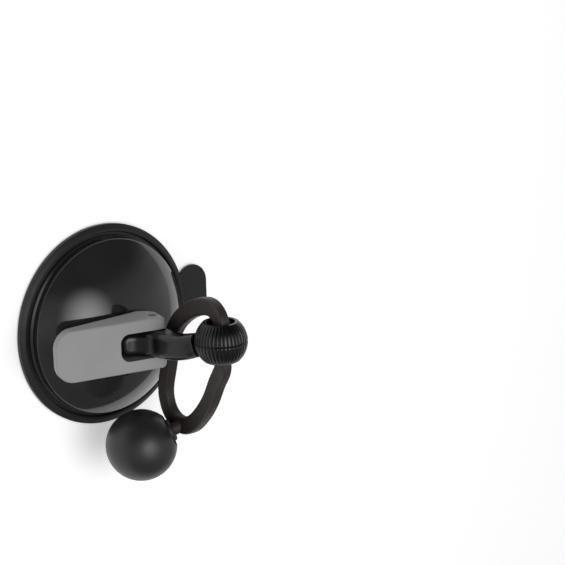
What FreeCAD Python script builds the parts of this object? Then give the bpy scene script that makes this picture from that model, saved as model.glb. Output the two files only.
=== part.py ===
import FreeCAD, Part
import math
import os

# Wall-mounted vacuum cup with a cam lever, a curved arm, and a ribbed guide bead that carries
# a rubber strap loop with a ball. The wall is the plane y = 0, the cup stands out along -Y,
# and +Z is up. "out" below is the distance from the wall, so y = -out.

V = FreeCAD.Vector

# ---- driving dimensions, in millimetres and degrees ----
CUP_R = 45.0               # outer radius of the rubber pad
PAD_EDGE = 2.6             # thickness of the pad at its outer edge
PAD_FLANGE = 3.4           # height of the raised flange round the dome
PAD_GROOVE_R = 41.7        # outer radius of the groove that the dome's lip stands in
PAD_GROOVE_OUT = 2.0       # floor of that groove
TAB_R = 8.2                # radius of the rounded end of the pull tab
TAB_AT = (49.6, 9.2)       # centre of that end, as (x, z)
TAB_TAIL = 8.0             # length of the tab's straight side below that centre
TAB_THICK = 2.2            # thickness of the pull tab
PAD_PROFILE = [            # section of the pad as (radius, out), from the middle of its underside
    (0, 3.6), (16, 3.6), (24, 2.2), (34, 0), (CUP_R - 0.4, 0), (CUP_R, 0.4), (CUP_R, PAD_EDGE - 0.4),
    (CUP_R - 0.6, PAD_EDGE), (PAD_GROOVE_R + 1.2, PAD_FLANGE), (PAD_GROOVE_R + 0.3, PAD_FLANGE),
    (PAD_GROOVE_R, PAD_FLANGE - 0.3), (PAD_GROOVE_R - 0.4, PAD_GROOVE_OUT), (37.6, PAD_GROOVE_OUT),
    (35.4, 3.2), (30.0, 3.2), (21.0, 8.2), (20.0, 8.9), (16.0, 8.9), (16.0, 6.5), (0, 6.5)]

DOME_R = 39.2              # radius of the dome at its shoulder
DOME_LIP_R = 40.3          # radius of the dome's lip
DOME_SHOULDER = 6.8        # height of the shoulder, above the dome's upright edge
DOME_APEX = 23.0           # height that the dome's curve would reach on the axis
DOME_WALL = 2.0            # thickness of the dome shell
BOSS_R = 9.5               # radius of the raised boss in the middle of the dome
BOSS_TOP = 25.0            # height of that boss
POST_R = 2.8               # radius of the screw posts inside the dome

PLATE_LOW = 6.5            # underside of the core plate
PLATE_TOP = 9.0            # top of the core plate
FLANGE_R = 8.5             # radius of the plunger's flange, seated in the core plate
FLANGE_TOP = 8.0           # top of that flange
CLIP_LOW = 9.1             # underside of the clip on the plunger
CLIP_TOP = 9.9             # top of that clip
CLIP_IN = 4.2              # inner radius of the clip
SPRING_WIRE = 0.5          # radius of the return spring's wire
SPRING_R = 8.3             # mean radius of the return spring
SPRING_TURNS = 3.5         # number of turns of the spring
BUSH_R = 7.0               # outer radius of the sleeve that guides the plunger
HUB_R = 11.0               # outer radius of the frame's hub
HUB_LOW = 16.5             # underside of the hub
FOOT_IN = 31.2             # inner radius of the frame's pressure ring
FOOT_OUT = 34.6            # outer radius of that ring
FOOT_LOW = 3.3             # underside of that ring
SPOKES = 8                 # number of spokes of the frame
SPOKE_THICK = 1.8          # thickness of a spoke
SCREWS = 4                 # number of screws that hold the dome
SCREW_RING = 26.0          # distance of the screws from the axis
SCREW_TURN = 22.5          # angle of the first screw
SCREW_R = 1.2              # radius of a screw
SCREW_HEAD_R = 2.3         # radius of a screw's head
SCREW_SEAT = 8.2           # height of the faces the screw heads sit on

SHAFT_R = 5.0              # radius of the plunger's round shaft
FIT = 0.05                 # running clearance on the radius
PIVOT_OUT = 37.0           # height of the lever's pivot when locked
TONGUE = 6.0               # side of the plunger's square tongue
TONGUE_TOP = 42.0          # height of that tongue's end
WASHER_LOW = 26.0          # underside of the washer that the lever's cams press on
WASHER_TOP = 27.5          # top of that washer
WASHER_R = 11.4            # radius of that washer

LEVER_TILT = 15.0          # slope of the locked lever down towards the rim
LEVER_W = 22.6             # width of the lever
LEVER_LENGTH = 46.0        # from the pivot to the lever's free end
LEVER_FACE = 5.5           # height of the lever's face above its pivot
LEVER_TIP = 3.4            # thickness of the lever at its free end
LEVER_PLATE = 3.0          # thickness of the lever's face plate
LEVER_CHEEK = 3.4          # thickness of the walls beside the hollow in the lever's underside
LEVER_HEEL = 4.5           # radius of the lever round the pivot
LEVER_BACK = 3.0           # rounding of the lever's back edge, behind the pivot
LEVER_CORNER = 8.0         # radius of the free end's corners
LEVER_EAR = 3.0            # radius of the corners behind the pivot
CAM_R = 4.8                # radius of the cam lobe
CAM_OFFSET = 5.1           # distance of the cam lobe's centre from the pivot
CAM_LEAD = 28.0            # angle of the cam lobe away from the washer, towards the lever
SLOT_HALF = 6.1            # half height of the slot between the lever's ears
SLOT_END = 17.0            # distance of the slot's blind end from the pivot
PIN_R = 2.0                # radius of the pivot pin
PIN_LENGTH = 19.0          # length of the pivot pin, sunk in the ears at both ends

ARM_ROOT_W = 11.6          # width of the arm at the pivot, along X
ARM_ROOT_H = 11.2          # height of the arm at the pivot
ARM_END_W = 8.6            # width of the arm where it meets the bead
ARM_END_H = 10.0            # height of the arm where it meets the bead
FOOT_REACH = 16.2          # reach of the arm's foot along the lever's slot, from the pivot
FOOT_TOP = 3.4             # height of that foot above the pivot
FOOT_CORNER = 4.4          # radius of that foot's corners
FOOT_SWEEP = 10.0          # radius of the sweep from the foot up into the arm
ARM_CORNER = 3.4           # radius of the arm's long edges
ARM_BOTTOM = 30.8          # height of the arm's foot above the wall
ARM_KNEE = 54.0            # height at which the arm turns towards the bead
ARM_BEND_R = 32.0          # radius of that turn

BEAD = V(6.5, -75.0, 6.3)  # centre of the ribbed bead
BEAD_R = 11.2              # radius of the bead
BORE_R = 6.0               # radius of the opening through the bead
LINER_WALL = 0.7           # thickness of the liner in the bead
LINER_LIP = 0.5            # thickness of the liner's rolled lips
LINER_R = BORE_R + LINER_WALL
BEAD_HALF = 8.4            # half height of the bead, where its ends are cut flat
EYE_R = 9.7                # outer radius of the arm's eye inside the bead
EYE_HALF = 2.2             # half thickness of the eye
SEAM = 0.15                # half of the gap between the two halves of the bead

STRAP_DEEP = 7.6           # depth of the strap, in the plane of the loop
STRAP_WIDE = 4.6           # width of the strap, across the loop
STRAP_EDGE = 1.2           # radius of the strap's long edges
LOOP_YAW = 5.6             # turn of the loop's plane away from the wall's normal
LOOP_PATH = [              # middle of the strap: (distance from the bore towards the wall, height)
    (-0.4, -8.8), (0.0, 0.0), (-0.3, 8.4), (3.8, 12.5), (12.0, 12.4), (22.4, 8.3), (31.6, 1.8), (37.8, -6.6),
    (40.5, -15.8), (43.6, -25.5), (45.4, -34.0), (42.8, -41.4), (35.6, -45.6), (26.8, -44.2),
    (17.2, -37.2), (9.0, -27.4), (3.0, -17.5)]
TAIL_FROM = (33.0, -45.6)  # place on that middle line where the tail to the ball leaves
TAIL_HEADING = V(-0.768, 0.498, -0.404)
TAIL_R = 3.0               # radius of the tail
EYELET_R = 5.0             # outer radius of the eyelet that closes the loop on the tail
EYELET_FROM = 4.6          # distance of the eyelet from the middle of the strap
EYELET_LONG = 3.2          # length of the eyelet along the tail
BALL_R = 15.6              # radius of the ball
BALL_GAP = 20.0            # distance of the ball's centre from the middle of the strap
MOUTH_R = 7.4              # radius of the recess in the ball
FERRULE_R = 4.4            # radius of the ferrule on the tail's end
FERRULE_LONG = 4.8         # length of the ferrule


# ---- shared helpers ----
def turned(points, arcs=()):
    """Solid of revolution round the wall's normal from (radius, out) points.

    An entry of arcs maps the index of a span to the (radius, out) point that the span passes through."""
    through = dict(arcs)
    edges = []
    count = len(points)
    for i in range(count):
        a = V(points[i][0], -points[i][1], 0)
        b = V(points[(i + 1) % count][0], -points[(i + 1) % count][1], 0)
        if i in through:
            m = V(through[i][0], -through[i][1], 0)
            edges.append(Part.Arc(a, m, b).toShape())
        else:
            edges.append(Part.makeLine(a, b))
    face = Part.Face(Part.Wire(edges))
    return solid(face.revolve(V(0, 0, 0), V(0, 1, 0), 360))


def solid(shape):
    """The shape as one or more clean solids with a positive volume."""
    parts = []
    for s in shape.Solids:
        if s.Volume < 0:
            s.reverse()
        parts.append(s)
    return parts[0] if len(parts) == 1 else Part.makeCompound(parts)


def disc(radius, low, high, axis_x=0.0, axis_z=0.0):
    """Cylinder along the wall's normal between two heights."""
    return Part.makeCylinder(radius, high - low, V(axis_x, -low, axis_z), V(0, -1, 0))


def tube(inner, outer, low, high):
    return disc(outer, low, high).cut(disc(inner, low - 1, high + 1))


def dome_out(radius, inset=0.0):
    """Height of the dome's curve at a radius, or of the surface that lies inset below it."""
    rise = DOME_APEX - DOME_SHOULDER
    ball = (DOME_R ** 2 + rise ** 2) / (2 * rise)
    return DOME_APEX - ball + math.sqrt((ball - inset) ** 2 - radius ** 2)


def write(name, shape):
    shape.exportStep("parts/" + name + ".step")


# ---- the cup ----
def make_pad():
    """Rubber disc with a sealing rim, a raised middle that holds the core plate, and a pull tab."""
    ring = turned(PAD_PROFILE)
    across, up = TAB_AT
    tab = disc(TAB_R, 0.3, 0.3 + TAB_THICK, across, up)
    tab = tab.fuse(disc(TAB_R, 0.3, 0.3 + TAB_THICK, across, up - TAB_TAIL))
    corner = V(across - TAB_R, -0.3 - TAB_THICK, up - TAB_TAIL)
    tab = tab.fuse(Part.makeBox(2 * TAB_R, TAB_THICK, TAB_TAIL, corner))
    tab = tab.removeSplitter()
    rims = [e for e in tab.Edges if e.BoundBox.YLength < 0.01]
    tab = tab.makeFillet(0.7, rims)
    tab = tab.cut(disc(CUP_R - 1.5, -1, 10))
    pad = ring.fuse(tab)
    return solid(pad.removeSplitter())


def make_core_plate():
    """Stiff disc bonded on the rubber, with a seat for the plunger's flange."""
    plate = disc(15.9, PLATE_LOW, PLATE_TOP)
    seat = disc(FLANGE_R + 0.1, PLATE_LOW - 0.5, FLANGE_TOP)
    return solid(plate.cut(seat).cut(disc(SHAFT_R, PLATE_LOW - 0.5, PLATE_TOP + 1)))


def make_plunger():
    """Flanged shaft that pulls the pad, with a square tongue that the pivot pin crosses."""
    flange = disc(FLANGE_R, PLATE_LOW + 0.1, FLANGE_TOP)
    shaft = disc(SHAFT_R, FLANGE_TOP, ARM_BOTTOM)
    half = TONGUE / 2
    tongue = Part.makeBox(TONGUE, TONGUE_TOP - ARM_BOTTOM, TONGUE, V(-half, -TONGUE_TOP, -half))
    body = flange.fuse(shaft).fuse(tongue)
    body = body.cut(tube(CLIP_IN, SHAFT_R + 1, CLIP_LOW, CLIP_TOP))
    hole = Part.makeCylinder(PIN_R, 10, V(0, -PIVOT_OUT, -5), V(0, 0, 1))
    return solid(body.cut(hole).removeSplitter())


def make_plunger_clip():
    """Open spring clip that holds the core plate on the plunger."""
    clip = tube(CLIP_IN, BUSH_R + 0.4, CLIP_LOW, CLIP_TOP)
    mouth = Part.makeBox(9.0, 4.0, 4.4, V(2.0, -12.0, -2.2))
    return solid(clip.cut(mouth))


def make_return_spring():
    """Compression spring between the core plate and the frame's hub."""
    low = PLATE_TOP + SPRING_WIRE + 0.05
    high = HUB_LOW - SPRING_WIRE - 0.1
    helix = Part.makeHelix((high - low) / SPRING_TURNS, high - low, SPRING_R)
    section = Part.Wire(Part.makeCircle(SPRING_WIRE, V(SPRING_R, 0, 0), V(0, 1, 0)))
    coil = Part.Wire(helix).makePipeShell([section], True, True)
    coil.rotate(V(0, 0, 0), V(1, 0, 0), 90)
    coil.translate(V(0, -low, 0))
    return solid(coil)


def ring_of(count, first, shape):
    """Copies of a shape spaced evenly round the wall's normal, the first one turned by an angle."""
    copies = []
    for i in range(count):
        item = shape.copy()
        item.rotate(V(0, 0, 0), V(0, 1, 0), first + 360.0 * i / count)
        copies.append(item)
    return copies


def under_dome(radius, inset):
    """Solid that fills the space under the dome's curve, less an inset."""
    return turned([(0, 0), (radius, 0), (radius, dome_out(radius, inset)), (0, dome_out(0, inset))],
                  {2: (20.0, dome_out(20.0, inset))})


def make_support_frame():
    """Ribbed inner housing: a pressure ring on the pad, spokes, and a hub for the bush."""
    frame = tube(BUSH_R, HUB_R, HUB_LOW, BOSS_TOP).fuse(tube(FOOT_IN, FOOT_OUT, FOOT_LOW, 12.0))
    spoke = Part.makeBox(23.0, 16.0, SPOKE_THICK, V(10.0, -BOSS_TOP, -SPOKE_THICK / 2))
    for rib in ring_of(SPOKES, 0, spoke):
        frame = frame.fuse(rib)
    seat = disc(3.0, SCREW_SEAT, 10.0, SCREW_RING, 0)
    seat = seat.fuse(Part.makeBox(6.0, 1.8, 6.0, V(SCREW_RING, -10.0, -3.0)))
    for pad in ring_of(SCREWS, SCREW_TURN, seat):
        frame = frame.fuse(pad)
    frame = frame.common(under_dome(36.0, DOME_WALL + 0.3))
    pad_room = turned([(0, 0), (36.0, 0), (36.0, FOOT_LOW), (30.6, FOOT_LOW), (19.5, 10.6), (0, 10.6)])
    frame = frame.cut(pad_room).cut(disc(BUSH_R, 0, 30))
    for hole in ring_of(SCREWS, SCREW_TURN, disc(SCREW_R + 0.1, 5.0, 12.0, SCREW_RING, 0)):
        frame = frame.cut(hole)
    return solid(frame.removeSplitter())


def make_frame_screws():
    """Four pan-head screws that hold the dome on the frame."""
    head = disc(SCREW_HEAD_R, SCREW_SEAT - 1.3, SCREW_SEAT, SCREW_RING, 0)
    screw = head.fuse(disc(SCREW_R, SCREW_SEAT, 12.6, SCREW_RING, 0))
    screw = screw.cut(disc(0.9, SCREW_SEAT - 2, SCREW_SEAT - 0.7, SCREW_RING, 0))
    return Part.makeCompound([solid(item) for item in ring_of(SCREWS, SCREW_TURN, screw)])


def make_dome_shell():
    """Glossy cover: a lip that stands in the pad's groove, a shoulder, the dome, and a middle boss."""
    boss_foot = BOSS_R + 1.4
    lip_back = DOME_LIP_R - DOME_WALL - 0.5
    lip_low = PAD_GROOVE_OUT + 0.15
    edge = DOME_R - 0.45
    skirt = DOME_R - DOME_WALL - 0.1
    shell = turned([
        (lip_back, lip_low), (DOME_LIP_R, lip_low), (DOME_LIP_R, 3.2), (DOME_R + 0.2, 3.8),
        (DOME_R, DOME_SHOULDER - 0.5), (edge, dome_out(edge)), (boss_foot, dome_out(boss_foot)),
        (BOSS_R, dome_out(BOSS_R) + 1.1), (BOSS_R, BOSS_TOP - 0.5), (BOSS_R - 0.5, BOSS_TOP), (BUSH_R, BOSS_TOP),
        (BUSH_R, dome_out(BUSH_R, DOME_WALL)), (skirt, dome_out(skirt, DOME_WALL)), (lip_back, 3.4)],
        {5: (26.0, dome_out(26.0)), 11: (24.0, dome_out(24.0, DOME_WALL))})
    inside = under_dome(36.0, DOME_WALL / 2)
    for post in ring_of(SCREWS, SCREW_TURN, disc(POST_R, 10.0, 16.0, SCREW_RING, 0)):
        shell = shell.fuse(post.common(inside))
    for bore in ring_of(SCREWS, SCREW_TURN, disc(SCREW_R, 9.0, 12.8, SCREW_RING, 0)):
        shell = shell.cut(bore)
    return solid(shell.removeSplitter())


def make_plunger_bush():
    """Flanged sleeve that guides the plunger through the dome."""
    sleeve = tube(SHAFT_R + FIT, BUSH_R, HUB_LOW, BOSS_TOP)
    flange = tube(SHAFT_R + FIT, 9.2, BOSS_TOP, WASHER_LOW)
    return solid(sleeve.fuse(flange).removeSplitter())


def make_cam_washer():
    """Hard black washer that the lever's cams press on."""
    return solid(tube(SHAFT_R + 0.6, WASHER_R, WASHER_LOW, WASHER_TOP))


# ---- the lever ----
def lever_place(shape):
    """Turns a shape from the lever's own frame (free end at -x, face at -y) into its locked place."""
    shape.rotate(V(0, 0, 0), V(0, 0, 1), -LEVER_TILT)
    shape.translate(V(0, -PIVOT_OUT, 0))
    return shape


def make_lever():
    """Clevis-shaped cam lever: a face plate, two cheeks that deepen to the cams, and an open slot."""
    lead = math.radians(CAM_LEAD + LEVER_TILT)
    cam = V(-CAM_OFFSET * math.sin(lead), CAM_OFFSET * math.cos(lead), 0)
    tip = V(-LEVER_LENGTH, -LEVER_FACE + LEVER_TIP, 0)
    reach = tip.sub(cam)
    swing = math.acos(CAM_R / reach.Length)
    aim = math.atan2(reach.y, reach.x) - swing
    touch = cam.add(V(CAM_R * math.cos(aim), CAM_R * math.sin(aim), 0))
    span = cam.Length
    side = math.atan2(cam.y, cam.x) - math.acos((LEVER_HEEL - CAM_R) / span)
    heel = V(LEVER_HEEL * math.cos(side), LEVER_HEEL * math.sin(side), 0)
    heel_cam = cam.add(V(CAM_R * math.cos(side), CAM_R * math.sin(side), 0))
    outline = [V(-LEVER_LENGTH, -LEVER_FACE, 0), tip, touch, cam, heel_cam, heel, V(0, 0, 0),
               V(LEVER_HEEL, 0, 0), V(LEVER_HEEL, -LEVER_FACE, 0)]
    half = LEVER_W / 2
    base = Part.Face(Part.makePolygon(outline + [outline[0]]))
    body = base.extrude(V(0, 0, LEVER_W))
    heel_edge = [e for e in body.Edges
                 if e.CenterOfMass.sub(V(LEVER_HEEL, -LEVER_FACE, half)).Length < 0.01]
    body = body.makeFillet(LEVER_BACK, heel_edge)
    body = body.fuse(Part.makeCylinder(CAM_R, LEVER_W, cam, V(0, 0, 1)))
    body = body.fuse(Part.makeCylinder(LEVER_HEEL, LEVER_W, V(0, 0, 0), V(0, 0, 1)))
    body.translate(V(0, 0, -half))
    plan = Part.makeBox(LEVER_LENGTH + LEVER_HEEL, 40, LEVER_W, V(-LEVER_LENGTH, -20, -half))
    ends = [e for e in plan.Edges if abs(e.Length - 40) < 0.01 and e.CenterOfMass.x < -1]
    plan = plan.makeFillet(LEVER_CORNER, ends)
    ends = [e for e in plan.Edges if abs(e.Length - 40) < 0.01 and e.CenterOfMass.x > 1]
    plan = plan.makeFillet(LEVER_EAR, ends)
    body = body.common(plan)
    slot = Part.makeBox(SLOT_END + 20, 60, 2 * SLOT_HALF, V(-SLOT_END, -30, -SLOT_HALF))
    ends = [e for e in slot.Edges if abs(e.Length - 60) < 0.01 and e.CenterOfMass.x < -1]
    slot = slot.makeFillet(4.0, ends)
    channel = Part.makeBox(LEVER_LENGTH - SLOT_END - 7.5, 30, LEVER_W - 2 * LEVER_CHEEK,
                           V(-LEVER_LENGTH + 5.0, -LEVER_FACE + LEVER_PLATE, -half + LEVER_CHEEK))
    body = body.removeSplitter()
    face_edges = [e for e in body.Edges
                  if abs(e.BoundBox.YMin + LEVER_FACE) < 0.01 and abs(e.BoundBox.YMax + LEVER_FACE) < 0.01
                  and e.CenterOfMass.x < 0]
    body = body.makeFillet(0.8, face_edges)
    body = body.cut(slot).cut(channel)
    bore = Part.makeCylinder(PIN_R, LEVER_W + 2, V(0, 0, -half - 1), V(0, 0, 1))
    return solid(lever_place(body.cut(bore)))


def make_pivot_pin():
    """Dowel through the lever's ears, the arm and the plunger."""
    pin = Part.makeCylinder(PIN_R - 0.03, PIN_LENGTH, V(0, -PIVOT_OUT, -PIN_LENGTH / 2), V(0, 0, 1))
    return solid(pin.makeChamfer(0.4, [e for e in pin.Edges if e.Closed]))


def make_ear_washers():
    """Two thin washers between the arm and the lever's ears."""
    pin = Part.makeCylinder(PIN_R, PIN_LENGTH, V(0, -PIVOT_OUT, -PIN_LENGTH / 2), V(0, 0, 1))
    rings = []
    for low in (ARM_ROOT_H / 2 + 0.12, -SLOT_HALF + 0.04):
        ring = Part.makeCylinder(4.2, 0.34, V(0, -PIVOT_OUT, low), V(0, 0, 1))
        rings.append(solid(ring.cut(pin)))
    return Part.makeCompound(rings)


# ---- the arm and its bead ----
def arm_foot():
    """Block that fills the lever's slot when the lever is locked, and sweeps up into the arm."""
    tilt = math.radians(LEVER_TILT)
    along = V(-math.cos(tilt), math.sin(tilt), 0)
    down = V(math.sin(tilt), math.cos(tilt), 0)
    over = V(0, -PIVOT_OUT, 0).sub(down * FOOT_TOP)
    corner = over.add(along * ((ARM_ROOT_W / 2 + over.x) / math.cos(tilt)))
    half_angle = (math.pi / 2 + tilt) / 2
    run = FOOT_SWEEP / math.tan(half_angle)
    bisector = along.add(V(0, -1, 0)).normalize()
    middle = corner.add(bisector * (FOOT_SWEEP / math.sin(half_angle) - FOOT_SWEEP))
    start = corner.add(along * run)
    top = corner.sub(V(0, run, 0))
    far = over.add(along * FOOT_REACH)
    far_low = far.add(down * ((-ARM_BOTTOM - far.y) / down.y))
    edges = [Part.makeLine(far, start), Part.Arc(start, middle, top).toShape(),
             Part.makeLine(top, V(0, top.y, 0)), Part.makeLine(V(0, top.y, 0), V(0, -ARM_BOTTOM, 0)),
             Part.makeLine(V(0, -ARM_BOTTOM, 0), far_low), Part.makeLine(far_low, far)]
    foot = Part.Face(Part.Wire(edges)).extrude(V(0, 0, ARM_ROOT_H))
    foot.translate(V(0, 0, -ARM_ROOT_H / 2))
    upright_ends = [e for e in foot.Edges if e.CenterOfMass.x < far_low.x - 0.1 and e.BoundBox.ZLength < 0.01
                    and e.CenterOfMass.y > far.y + 1]
    foot = foot.makeFillet(FOOT_CORNER, upright_ends)
    rims = [e for e in foot.Edges if e.CenterOfMass.x < -ARM_ROOT_W / 2 - 0.1 and e.CenterOfMass.y < far.y + 0.8]
    return foot.makeFillet(ARM_CORNER, rims)


def arm_line():
    """Unit direction of the arm's last stretch, and the knee where the two stretches would meet."""
    knee = V(0, -ARM_KNEE, 0)
    return BEAD.sub(knee).normalize(), knee


def rounded_section(centre, along, width, height, corner, up=V(0, 0, 1)):
    """Rounded rectangle square to a direction, with its height as near to up as that allows."""
    side = along.cross(up).normalize()
    rise = side.cross(along).normalize()
    w = width / 2
    h = height / 2
    k = corner * (1 - math.sqrt(0.5))
    def at(u, v):
        return centre.add(side * u).add(rise * v)
    spots = [(w, -h + corner), (w, h - corner), (w - k, h - k),
             (w - corner, h), (-w + corner, h), (-w + k, h - k),
             (-w, h - corner), (-w, -h + corner), (-w + k, -h + k),
             (-w + corner, -h), (w - corner, -h), (w - k, -h + k)]
    p = [at(*s) for s in spots]
    edges = []
    for i in range(0, 12, 3):
        edges.append(Part.makeLine(p[i], p[i + 1]))
        edges.append(Part.Arc(p[i + 1], p[i + 2], p[(i + 3) % 12]).toShape())
    return Part.Wire(edges)


def upright(radius, low, high):
    """Vertical cylinder through the bead's centre, between two heights above that centre."""
    return Part.makeCylinder(radius, high - low, BEAD.add(V(0, 0, low)), V(0, 0, 1))


def make_arm():
    """Arm from the pivot out to the bead, with a flat eye that the two halves of the bead close on."""
    along, knee = arm_line()
    turn = V(0, -1, 0).getAngle(along)
    lead = ARM_BEND_R * math.tan(turn / 2)
    start = V(0, -ARM_BOTTOM, 0)
    bend_in = knee.add(V(0, lead, 0))
    end = BEAD.sub(along * (BEAD_R + 0.9))
    normal = V(0, -1, 0).cross(along).normalize()
    inward = normal.cross(V(0, -1, 0)).normalize()
    middle = bend_in.add(inward * ARM_BEND_R)
    places = [(start, V(0, -1, 0)), (V(0, (bend_in.y - ARM_BOTTOM) / 2, 0), V(0, -1, 0))]
    steps = 4
    for i in range(steps + 1):
        spin = turn * i / steps
        swing = inward * -math.cos(spin) + V(0, -1, 0) * math.sin(spin)
        spot = middle.add(swing * ARM_BEND_R)
        heading = (V(0, -1, 0) * math.cos(spin)).add(inward * math.sin(spin))
        places.append((spot, heading))
    last = places[-1][0]
    places.append((last.add(end.sub(last) * 0.5), along))
    places.append((end, along))
    total = len(places) - 1
    wires = []
    for i, (spot, heading) in enumerate(places):
        t = max(0.0, (i - 2.0) / (total - 2.0))
        wires.append(rounded_section(spot, heading, ARM_ROOT_W + (ARM_END_W - ARM_ROOT_W) * t,
                                     ARM_ROOT_H + (ARM_END_H - ARM_ROOT_H) * t, ARM_CORNER))
    arm = Part.makeLoft(wires, True, False)
    neck = Part.makeLoft([rounded_section(end.sub(along * 0.5), along, 6.0, 4.6, 1.2),
                          rounded_section(BEAD.sub(along * 8.6), along, 6.0, 3.6, 1.2)], True, True)
    eye = upright(EYE_R, -EYE_HALF, EYE_HALF)
    inner = upright(LINER_R + 0.7, -15, 15)
    arm = arm.fuse(arm_foot()).fuse(neck).fuse(eye).cut(inner)
    room = TONGUE + 0.1
    socket = Part.makeBox(room, TONGUE_TOP - ARM_BOTTOM + 1.1, room, V(-room / 2, -TONGUE_TOP - 0.1, -room / 2))
    arm = arm.cut(socket)
    arm = arm.cut(Part.makeCylinder(PIN_R, 20, V(0, -PIVOT_OUT, -10), V(0, 0, 1)))
    return solid(arm.removeSplitter())


def bead_half(sign):
    """Half of the bead: a thick shell with flat ends, hollowed for the arm's eye and the liner."""
    ball = Part.makeSphere(BEAD_R, BEAD)
    low = SEAM if sign > 0 else -BEAD_HALF
    slab = Part.makeBox(40, 40, BEAD_HALF - SEAM, BEAD.add(V(-20, -20, low)))
    half = ball.common(slab)
    half = half.cut(upright(LINER_R + 0.05, -20, 20))
    pocket = upright(EYE_R, -EYE_HALF, EYE_HALF)
    step = BEAD_HALF - LINER_LIP
    lip = upright(LINER_R + 0.45, step, 20) if sign > 0 else upright(LINER_R + 0.45, -20, -step)
    along, _ = arm_line()
    notch = Part.makeLoft([rounded_section(BEAD.sub(along * (BEAD_R + 2)), along, 6.3, 5.0, 1.3),
                           rounded_section(BEAD.sub(along * 8.0), along, 6.3, 4.0, 1.3)], True, True)
    return solid(half.cut(pocket).cut(lip).cut(notch).removeSplitter())


def make_liner():
    """Tube with rolled lips that lines the opening, holds the halves together and turns with the strap."""
    inside = BEAD_HALF - LINER_LIP + 0.05
    liner = upright(LINER_R, -BEAD_HALF, BEAD_HALF)
    liner = liner.fuse(upright(LINER_R + 0.4, -BEAD_HALF, -inside))
    liner = liner.fuse(upright(LINER_R + 0.4, inside, BEAD_HALF))
    liner = liner.cut(upright(BORE_R, -20, 20)).removeSplitter()
    mouths = [e for e in liner.Edges if e.Closed and abs(e.Length - 2 * math.pi * BORE_R) < 0.1]
    return solid(liner.makeFillet(0.4, mouths))


# ---- the strap loop and its ball ----
def loop_axes():
    """Directions of the loop's plane: towards the wall, and across the strap."""
    yaw = math.radians(LOOP_YAW)
    inwards = V(math.sin(yaw), math.cos(yaw), 0)
    return inwards, V(0, 0, 1).cross(inwards)


def loop_point(inward, height):
    inwards, _ = loop_axes()
    return BEAD.add(inwards * inward).add(V(0, 0, height))


def tail_axis():
    """Start of the tail on the strap's middle, and its unit direction to the ball."""
    return loop_point(*TAIL_FROM), V(TAIL_HEADING).normalize()


def make_strap():
    """Rubber strap closed into a loop: band, tail to the ball, and the eyelet buttoned on the tail."""
    _, across = loop_axes()
    line = Part.BSplineCurve()
    line.interpolate([loop_point(*spot) for spot in LOOP_PATH], PeriodicFlag=True)
    path = Part.Wire(line.toShape())
    start = line.value(line.FirstParameter)
    heading = line.tangent(line.FirstParameter)[0]
    section = rounded_section(start, heading, STRAP_DEEP, STRAP_WIDE, STRAP_EDGE, across)
    sweep = Part.BRepOffsetAPI.MakePipeShell(path)
    sweep.setBiNormalMode(across)
    sweep.add(section)
    sweep.build()
    sweep.makeSolid()
    band = solid(sweep.shape())
    spot, heading = tail_axis()
    tail = Part.makeCylinder(TAIL_R, BALL_GAP - 1.5, spot, heading)
    eyelet = Part.makeCylinder(EYELET_R, EYELET_LONG, spot.add(heading * EYELET_FROM), heading)
    eyelet = eyelet.makeFillet(1.2, [e for e in eyelet.Edges if e.Closed])
    return solid(band.fuse(tail).fuse(eyelet))


def make_tail_ferrule():
    """Ferrule crimped on the end of the tail; the ball turns on it."""
    spot, heading = tail_axis()
    base = spot.add(heading * (BALL_GAP - 5.5))
    ferrule = Part.makeCylinder(FERRULE_R, FERRULE_LONG, base, heading)
    return solid(ferrule.cut(Part.makeCylinder(TAIL_R, 4.0, base, heading)))


def make_ball():
    """Ball with a recess for the eyelet, a bore for the tail and a chamber for the ferrule."""
    spot, heading = tail_axis()
    centre = spot.add(heading * BALL_GAP)
    ball = Part.makeSphere(BALL_R, centre)
    recess = Part.makeCylinder(MOUTH_R, 20, centre.sub(heading * 30), heading)
    bore = Part.makeCylinder(TAIL_R + 0.3, 10, centre.sub(heading * 14), heading)
    chamber = Part.makeCylinder(FERRULE_R + 0.1, 5.4, centre.sub(heading * 5.8), heading)
    return solid(ball.cut(recess).cut(bore).cut(chamber).removeSplitter())


def main():
    os.makedirs("parts", exist_ok=True)
    write("suction_pad", make_pad())
    write("core_plate", make_core_plate())
    write("plunger", make_plunger())
    write("plunger_clip", make_plunger_clip())
    write("return_spring", make_return_spring())
    write("support_frame", make_support_frame())
    write("frame_screws", make_frame_screws())
    write("dome_shell", make_dome_shell())
    write("plunger_bush", make_plunger_bush())
    write("cam_washer", make_cam_washer())
    write("cam_lever", make_lever())
    write("pivot_pin", make_pivot_pin())
    write("ear_washers", make_ear_washers())
    write("arm", make_arm())
    write("bead_upper", bead_half(1))
    write("bead_lower", bead_half(-1))
    write("bead_liner", make_liner())
    write("strap_band", make_strap())
    write("tail_ferrule", make_tail_ferrule())
    write("ball", make_ball())


main()
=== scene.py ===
import math
import bmesh
import bpy
from mathutils import Matrix, Vector


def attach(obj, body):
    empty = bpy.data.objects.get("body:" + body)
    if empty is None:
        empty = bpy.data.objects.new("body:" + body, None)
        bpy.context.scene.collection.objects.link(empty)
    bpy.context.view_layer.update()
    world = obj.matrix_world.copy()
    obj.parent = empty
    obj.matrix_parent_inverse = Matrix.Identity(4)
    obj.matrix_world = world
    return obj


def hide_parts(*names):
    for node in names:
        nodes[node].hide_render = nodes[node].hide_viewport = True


# A lever-locked vacuum cup on a white wall, in metres: the wall is the plane y = 0, the cup
# stands out along -Y, and +Z is up.

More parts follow.
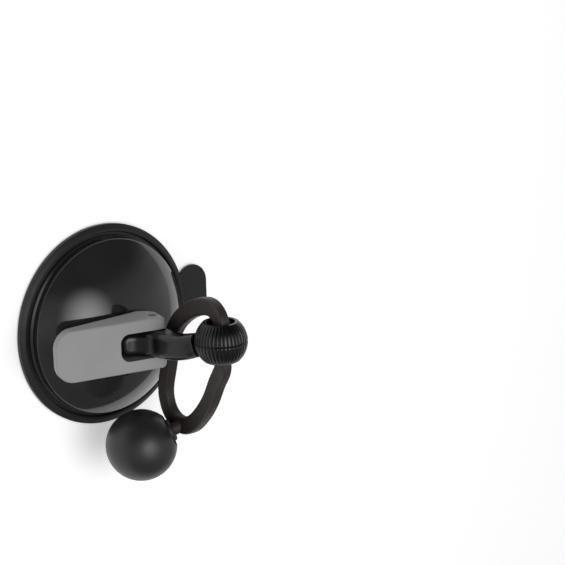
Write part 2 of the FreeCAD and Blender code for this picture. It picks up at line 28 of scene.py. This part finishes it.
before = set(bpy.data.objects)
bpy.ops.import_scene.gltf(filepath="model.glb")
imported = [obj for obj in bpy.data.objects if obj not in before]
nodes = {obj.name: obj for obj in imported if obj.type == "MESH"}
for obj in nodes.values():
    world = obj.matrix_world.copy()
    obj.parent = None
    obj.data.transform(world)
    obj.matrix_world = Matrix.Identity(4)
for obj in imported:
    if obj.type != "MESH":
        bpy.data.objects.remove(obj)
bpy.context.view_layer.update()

MM = 0.001

# ---- camera ----
AZIMUTH = -35.2            # degrees round the cup, 0 being straight out from the wall
ELEVATION = 16.3           # degrees above the level
ROLL = 3.2                 # degrees
DISTANCE = 0.85            # from the middle of the pad
FRAME_WIDTH = 0.2511       # width that the picture covers at that distance
PAD_RIGHT = -0.3186        # the pad's middle right of the picture's centre, as a share of its width
PAD_UP = -0.0720           # and above it
SENSOR = 36.0              # width of the sensor in mm

# ---- dome cover: radii, and heights out from the wall ----
DOME_R = 39.2 * MM
DOME_SHOULDER = 6.8 * MM
DOME_APEX = 23.0 * MM      # height that the dome's curve would reach on the axis
DOME_WALL = 2.0 * MM
LIP_R = 40.3 * MM          # the lip that rests on the pad
LIP_LOW = 2.15 * MM
LIP_HIGH = 3.2 * MM
EDGE_LOW = 3.8 * MM        # where the upright edge above the lip begins
EDGE_LEAN = 0.2 * MM       # how much wider that edge is at its foot
EDGE_ROUND = 0.45 * MM     # rounding of the shoulder's edge
SKIRT_GAP = 0.1 * MM       # how far inside the wall's thickness the dome's inner curve ends
SKIRT_DROP = 0.4 * MM      # step from the upright edge's foot down to the skirt's inner end
BOSS_R = 9.5 * MM
BOSS_FOOT = 1.4 * MM       # how far the fillet round the boss reaches along the dome
BOSS_FILLET = 1.1 * MM     # and up the boss
BOSS_TOP = 25.0 * MM
BOSS_EDGE = 0.5 * MM
BUSH_R = 7.0 * MM
DOME_AROUND = 256
DOME_ALONG = 48

# ---- bead: its middle, then sizes ----
BEAD_AT = Vector((6.5, -75.0, 6.3)) * MM
BEAD_R = 11.2 * MM
BEAD_HALF = 8.4 * MM       # half height, where the bead's ends are cut flat
BEAD_SEAM = 0.16 * MM      # half of the gap between the two halves
SEAM_EDGE = 0.12 * MM      # softening of the edges at the seam
BEAD_BORE = 6.76 * MM      # radius of the hole for the liner
BEAD_LIP = 7.15 * MM       # radius of the recess for the liner's lip
LIP_DEPTH = 0.5 * MM
EYE_R = 9.75 * MM          # the pocket for the arm's eye
EYE_HALF = 2.25 * MM
RIBS = 36
RIB_DEPTH = 0.32 * MM
RIB_ROUND = 0.4            # below 1, the ridges are broad and the grooves narrow
RIB_FADE = 0.55            # share of the depth that is gone at the bead's ends
STEPS_PER_RIB = 10
STEPS_ALONG = 26

# ---- meshes ----
CURVE_STEPS = 6            # steps in each rounded corner of a section
SHARP_ANGLE = 32.0         # degrees between faces, above which an edge is drawn sharp

# ---- surfaces: noise scales are per metre ----
CLOUD_SCALE = 60.0
POLISH_SCALE = 180.0
STREAK_SCALE = 900.0
STREAK_SPREAD = 0.08       # how much the roughness of metal varies each way
GRAIN_STRENGTH = 0.5
NOISE_LOW = 0.3            # the middle of a noise's range, which is spread over the whole
NOISE_HIGH = 0.7

# ---- stage and light ----
WALL_SIZE = 6.0
WALL_BACK = 0.4 * MM       # how far the wall lies behind the pad's rim
WALL_ALBEDO = 0.93
WALL_ROUGH = 0.9
WALL_GLOW = 0.3
# Brightness of the surroundings: height of the direction, from -1 straight down to 1 straight up
WORLD_BANDS = [(-1.0, 0.15), (-0.45, 0.4), (0.0, 0.65), (0.25, 0.45), (0.6, 0.01)]
KEY_AT = (-0.20, -1.17, 0.08)
KEY_WIDE = 1.35
KEY_HIGH = 1.5
KEY_POWER = 34.0


# ---- materials ----
def new_material(name):
    mat = bpy.data.materials.new(name)
    mat.use_nodes = True
    tree = mat.node_tree
    return mat, tree, tree.nodes["Principled BSDF"]


def noise(tree, scale, detail, rough=0.5):
    coords = tree.nodes.new("ShaderNodeTexCoord")
    tex = tree.nodes.new("ShaderNodeTexNoise")
    tex.inputs["Scale"].default_value = scale
    tex.inputs["Detail"].default_value = detail
    tex.inputs["Roughness"].default_value = rough
    tree.links.new(coords.outputs["Object"], tex.inputs["Vector"])
    return tex.outputs["Fac"]


def vary(tree, value, low, high):
    """A number that follows a noise from low to high."""
    ramp = tree.nodes.new("ShaderNodeMapRange")
    ramp.inputs["From Min"].default_value = NOISE_LOW
    ramp.inputs["From Max"].default_value = NOISE_HIGH
    ramp.inputs["To Min"].default_value = low
    ramp.inputs["To Max"].default_value = high
    tree.links.new(value, ramp.inputs["Value"])
    return ramp.outputs["Result"]


def tint(tree, value, dark, light):
    """A colour that follows a noise from dark to light."""
    ramp = tree.nodes.new("ShaderNodeValToRGB")
    ramp.color_ramp.elements[0].position = NOISE_LOW
    ramp.color_ramp.elements[0].color = (*dark, 1.0)
    ramp.color_ramp.elements[1].position = NOISE_HIGH
    ramp.color_ramp.elements[1].color = (*light, 1.0)
    tree.links.new(value, ramp.inputs["Fac"])
    return ramp.outputs["Color"]


def bump(tree, shader, value, distance):
    node = tree.nodes.new("ShaderNodeBump")
    node.inputs["Strength"].default_value = GRAIN_STRENGTH
    node.inputs["Distance"].default_value = distance
    tree.links.new(value, node.inputs["Height"])
    tree.links.new(node.outputs["Normal"], shader.inputs["Normal"])


def moulded(name, dark, light, rough, spread, grain, height, ior=1.5):
    """Moulded plastic or rubber: faint clouds of tone, uneven polish, and a fine grain."""
    mat, tree, shader = new_material(name)
    cloud = noise(tree, CLOUD_SCALE, 4.0)
    tree.links.new(tint(tree, cloud, dark, light), shader.inputs["Base Color"])
    polish = vary(tree, noise(tree, POLISH_SCALE, 5.0, 0.6), rough - spread, rough + spread)
    tree.links.new(polish, shader.inputs["Roughness"])
    bump(tree, shader, noise(tree, grain, 2.0), height)
    shader.inputs["IOR"].default_value = ior
    return mat


def metal(name, dark, light, rough):
    mat, tree, shader = new_material(name)
    streaks = noise(tree, STREAK_SCALE, 4.0, 0.6)
    tree.links.new(tint(tree, streaks, dark, light), shader.inputs["Base Color"])
    polish = vary(tree, streaks, rough - STREAK_SPREAD, rough + STREAK_SPREAD)
    tree.links.new(polish, shader.inputs["Roughness"])
    shader.inputs["Metallic"].default_value = 1.0
    return mat


def paint(obj, mat):
    obj.data.materials.clear()
    obj.data.materials.append(mat)


PAD = moulded("pad_rubber", dark=(0.010, 0.010, 0.0105), light=(0.014, 0.014, 0.0145),
              rough=0.5, spread=0.06, grain=2500.0, height=0.01 * MM, ior=1.38)
DOME = moulded("dome_gloss", dark=(0.017, 0.017, 0.0175), light=(0.021, 0.021, 0.0215),
               rough=0.07, spread=0.015, grain=1200.0, height=0.002 * MM)
INNER = moulded("inner_black", dark=(0.008, 0.008, 0.0085), light=(0.012, 0.012, 0.0125),
                rough=0.5, spread=0.06, grain=2000.0, height=0.01 * MM)
LEVER = moulded("lever_grey", dark=(0.285, 0.285, 0.29), light=(0.31, 0.31, 0.315),
                rough=0.48, spread=0.05, grain=2800.0, height=0.008 * MM, ior=1.38)
ARM = moulded("arm_black", dark=(0.004, 0.004, 0.0042), light=(0.006, 0.006, 0.0063),
              rough=0.2, spread=0.03, grain=1500.0, height=0.003 * MM, ior=1.4)
BEAD = moulded("bead_black", dark=(0.003, 0.003, 0.0032), light=(0.005, 0.005, 0.0053),
               rough=0.22, spread=0.03, grain=2500.0, height=0.005 * MM, ior=1.38)
STRAP = moulded("strap_rubber", dark=(0.016, 0.011, 0.0095), light=(0.024, 0.016, 0.014),
                rough=0.55, spread=0.08, grain=2600.0, height=0.02 * MM)
BALL = moulded("ball_black", dark=(0.012, 0.012, 0.0125), light=(0.017, 0.017, 0.0175),
               rough=0.42, spread=0.04, grain=2200.0, height=0.008 * MM)
STEEL = metal("steel", dark=(0.42, 0.42, 0.43), light=(0.6, 0.6, 0.61), rough=0.3)
DARK_STEEL = metal("dark_steel", dark=(0.045, 0.045, 0.047), light=(0.075, 0.075, 0.077), rough=0.45)
BRASS = metal("brass", dark=(0.5, 0.36, 0.14), light=(0.66, 0.5, 0.22), rough=0.3)

FINISHES = {
    "suction_pad": PAD, "core_plate": INNER, "plunger": STEEL, "plunger_clip": STEEL,
    "return_spring": STEEL, "support_frame": INNER, "frame_screws": STEEL, "dome_shell": DOME,
    "plunger_bush": INNER, "cam_washer": INNER, "cam_lever": LEVER, "pivot_pin": DARK_STEEL,
    "ear_washers": STEEL, "arm": ARM, "bead_upper": BEAD, "bead_lower": BEAD, "bead_liner": ARM,
    "strap_band": STRAP, "tail_ferrule": BRASS, "ball": BALL}

for name, finish in FINISHES.items():
    paint(nodes[name], finish)


# ---- meshes of revolution ----
def turned_angles(count):
    return [2.0 * math.pi * i / count for i in range(count)]


def closed_rings(name, rings):
    """Closed skin over rings of points: each ring is a closed section, the last joins the first."""
    count = len(rings[0])
    faces = []
    for i in range(len(rings)):
        j = (i + 1) % len(rings)
        for k in range(count):
            n = (k + 1) % count
            faces.append((i * count + k, i * count + n, j * count + n, j * count + k))
    mesh = bpy.data.meshes.new(name)
    mesh.from_pydata([point for ring in rings for point in ring], [], faces)
    mesh.update()
    mesh.polygons.foreach_set("use_smooth", [True] * len(mesh.polygons))
    skin = bmesh.new()
    skin.from_mesh(mesh)
    bmesh.ops.recalc_face_normals(skin, faces=skin.faces)
    skin.to_mesh(mesh)
    skin.free()
    mesh.set_sharp_from_angle(angle=math.radians(SHARP_ANGLE))
    obj = bpy.data.objects.new(name, mesh)
    bpy.context.scene.collection.objects.link(obj)
    return obj


def stand_in(obj, body, node, finish):
    """Gives a piece its finish and puts it in the place of a CAD node."""
    paint(obj, finish)
    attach(obj, body)
    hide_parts(node)


# ---- dome cover ----
def dome_out(radius, inset=0.0):
    """Height of the dome's curve at a radius, or of the surface that lies inset below it."""
    rise = DOME_APEX - DOME_SHOULDER
    ball = (DOME_R ** 2 + rise ** 2) / (2 * rise)
    return DOME_APEX - ball + math.sqrt((ball - inset) ** 2 - radius ** 2)


def dome_points(first, last, steps, inset=0.0):
    """Points along the dome from one radius to another."""
    radii = [first + (last - first) * i / steps for i in range(steps + 1)]
    return [(radius, dome_out(radius, inset)) for radius in radii]


def rounded_corner(start, corner, end):
    """Points on the curve from start to end that is pulled towards the corner."""
    points = []
    for i in range(CURVE_STEPS + 1):
        t = i / CURVE_STEPS
        points.append(tuple((1 - t) ** 2 * a + 2 * t * (1 - t) * b + t ** 2 * c
                            for a, b, c in zip(start, corner, end)))
    return points


def dome_profile():
    """Section as (radius, out): lip, upright edge, shoulder, dome and boss, then the inside."""
    lip_in = LIP_R - DOME_WALL - BOSS_EDGE
    foot = BOSS_R + BOSS_FOOT
    shoulder = DOME_R - EDGE_ROUND
    points = [(lip_in, LIP_LOW), (LIP_R, LIP_LOW), (LIP_R, LIP_HIGH), (DOME_R + EDGE_LEAN, EDGE_LOW)]
    points += rounded_corner((DOME_R, dome_out(DOME_R) - EDGE_ROUND), (DOME_R, dome_out(DOME_R)),
                             (shoulder, dome_out(shoulder)))
    points += dome_points(shoulder, foot, DOME_ALONG)[1:]
    points += rounded_corner((foot, dome_out(foot)), (BOSS_R, dome_out(BOSS_R)),
                             (BOSS_R, dome_out(BOSS_R) + BOSS_FILLET))[1:]
    points += [(BOSS_R, BOSS_TOP - BOSS_EDGE), (BOSS_R - BOSS_EDGE, BOSS_TOP), (BUSH_R, BOSS_TOP)]
    points += dome_points(BUSH_R, DOME_R - DOME_WALL - SKIRT_GAP, DOME_ALONG // 2, DOME_WALL)
    points.append((lip_in, EDGE_LOW - SKIRT_DROP))
    return points


def make_dome_cover():
    profile = dome_profile()
    rings = [[Vector((radius * math.cos(angle), -out, radius * math.sin(angle)))
              for radius, out in profile] for angle in turned_angles(DOME_AROUND)]
    cover = closed_rings("dome_cover", rings)
    stand_in(cover, "cup", "dome_shell", DOME)


make_dome_cover()


# ---- ribbed bead ----
def rib_radius(radius, height, angle):
    """Radius of the ribbed skin, whose grooves get shallower towards the flat ends."""
    groove = 1.0 - abs(math.cos(RIBS * angle / 2.0)) ** RIB_ROUND
    fade = 1.0 - RIB_FADE * (abs(height) / BEAD_HALF) ** 4
    return radius - RIB_DEPTH * groove * fade


def bead_profile():
    """Section of the upper half as (radius, height, ribbed), round to its start again."""
    points = [(BEAD_LIP, BEAD_HALF - LIP_DEPTH, False), (BEAD_LIP, BEAD_HALF, False)]
    for i in range(STEPS_ALONG + 1):
        height = BEAD_HALF + (BEAD_SEAM - BEAD_HALF) * i / STEPS_ALONG
        soften = SEAM_EDGE if i == STEPS_ALONG else 0.0
        points.append((math.sqrt(BEAD_R ** 2 - height ** 2) - soften, height, True))
    points += [(EYE_R, BEAD_SEAM, False), (EYE_R, EYE_HALF, False), (BEAD_BORE, EYE_HALF, False),
               (BEAD_BORE, BEAD_HALF - LIP_DEPTH, False)]
    return points


def ribbed_half(name, side, node):
    """One half of the bead: side is 1 above the seam and -1 below it."""
    profile = bead_profile()
    rings = []
    for angle in turned_angles(RIBS * STEPS_PER_RIB):
        ring = []
        for radius, height, ribbed in profile:
            r = rib_radius(radius, height, angle) if ribbed else radius
            ring.append(BEAD_AT + Vector((r * math.cos(angle), r * math.sin(angle), side * height)))
        rings.append(ring)
    stand_in(closed_rings(name, rings), "plunger", node, BEAD)


ribbed_half("ribbed_bead_upper", 1, "bead_upper")
ribbed_half("ribbed_bead_lower", -1, "bead_lower")


# ---- stage ----
def make_wall():
    """White wall that is seen from the front and see-through from behind."""
    finish, tree, shader = new_material("wall")
    shader.inputs["Base Color"].default_value = (WALL_ALBEDO, WALL_ALBEDO, WALL_ALBEDO, 1.0)
    shader.inputs["Roughness"].default_value = WALL_ROUGH
    shader.inputs["Emission Color"].default_value = (1.0, 1.0, 1.0, 1.0)
    shader.inputs["Emission Strength"].default_value = WALL_GLOW
    see_through = tree.nodes.new("ShaderNodeBsdfTransparent")
    side = tree.nodes.new("ShaderNodeNewGeometry")
    mix = tree.nodes.new("ShaderNodeMixShader")
    tree.links.new(side.outputs["Backfacing"], mix.inputs["Fac"])
    tree.links.new(shader.outputs["BSDF"], mix.inputs[1])
    tree.links.new(see_through.outputs["BSDF"], mix.inputs[2])
    tree.links.new(mix.outputs["Shader"], tree.nodes["Material Output"].inputs["Surface"])
    bpy.ops.mesh.primitive_plane_add(size=WALL_SIZE, location=(0, WALL_BACK, 0),
                                     rotation=(math.pi / 2, 0, 0))
    wall = bpy.context.object
    wall.name = "wall"
    paint(wall, finish)


# ---- light ----
def soften_edges(data):
    """Fades a panel light from its middle to nothing at its edges."""
    data.use_nodes = True
    tree = data.node_tree
    place = tree.nodes.new("ShaderNodeNewGeometry")
    offset = tree.nodes.new("ShaderNodeVectorMath")
    offset.operation = "DISTANCE"
    offset.inputs[1].default_value = (0.5, 0.5, 0.0)
    fade = tree.nodes.new("ShaderNodeMapRange")
    fade.interpolation_type = "SMOOTHSTEP"
    fade.inputs["From Max"].default_value = 0.5
    fade.inputs["To Min"].default_value = 1.0
    fade.inputs["To Max"].default_value = 0.0
    tree.links.new(place.outputs["Parametric"], offset.inputs[0])
    tree.links.new(offset.outputs["Value"], fade.inputs["Value"])
    tree.links.new(fade.outputs["Result"], tree.nodes["Emission"].inputs["Strength"])


def make_key_light():
    """Large panel in front of the wall, turned to the pad's middle."""
    data = bpy.data.lights.new("key", "AREA")
    soften_edges(data)
    data.energy = KEY_POWER
    data.shape = "RECTANGLE"
    data.size = KEY_WIDE
    data.size_y = KEY_HIGH
    lamp = bpy.data.objects.new("key", data)
    lamp.location = KEY_AT
    lamp.rotation_mode = "QUATERNION"
    lamp.rotation_quaternion = (-Vector(KEY_AT)).to_track_quat("-Z", "Y")
    bpy.context.scene.collection.objects.link(lamp)


def make_world():
    """Pale surroundings, brightest at the horizon and dark overhead."""
    world = bpy.data.worlds.new("studio")
    world.use_nodes = True
    tree = world.node_tree
    coords = tree.nodes.new("ShaderNodeTexCoord")
    split = tree.nodes.new("ShaderNodeSeparateXYZ")
    height = tree.nodes.new("ShaderNodeMapRange")
    height.inputs["From Min"].default_value = -1.0
    ramp = tree.nodes.new("ShaderNodeValToRGB")
    ramp.color_ramp.interpolation = "EASE"
    stops = ramp.color_ramp.elements
    for i, (level, value) in enumerate(WORLD_BANDS):
        stop = stops[i] if i < len(stops) else stops.new(1.0)
        stop.position = (level + 1.0) / 2.0
        stop.color = (value, value, value, 1.0)
    tree.links.new(coords.outputs["Generated"], split.inputs["Vector"])
    tree.links.new(split.outputs["Z"], height.inputs["Value"])
    tree.links.new(height.outputs["Result"], ramp.inputs["Fac"])
    tree.links.new(ramp.outputs["Color"], tree.nodes["Background"].inputs["Color"])
    bpy.context.scene.world = world


# ---- camera ----
def make_camera():
    azimuth = math.radians(AZIMUTH)
    elevation = math.radians(ELEVATION)
    back = Vector((math.sin(azimuth) * math.cos(elevation), -math.cos(azimuth) * math.cos(elevation),
                   math.sin(elevation)))
    data = bpy.data.cameras.new("camera")
    data.sensor_width = SENSOR
    data.lens = SENSOR * DISTANCE / FRAME_WIDTH
    camera = bpy.data.objects.new("camera", data)
    camera.location = back * DISTANCE
    camera.rotation_mode = "QUATERNION"
    # Straight at the pad's middle, rolled, then turned so that the pad stands off the picture's centre
    roll = Matrix.Rotation(math.radians(-ROLL), 3, "Z").to_quaternion()
    straight = (-back).to_track_quat("-Z", "Y") @ roll
    spot = Vector((PAD_RIGHT * FRAME_WIDTH, PAD_UP * FRAME_WIDTH, -DISTANCE))
    camera.rotation_quaternion = straight @ spot.rotation_difference(Vector((0, 0, -1)))
    bpy.context.scene.collection.objects.link(camera)
    bpy.context.scene.camera = camera


make_wall()
make_world()
make_key_light()
make_camera()
bpy.context.scene.view_settings.view_transform = "Standard"
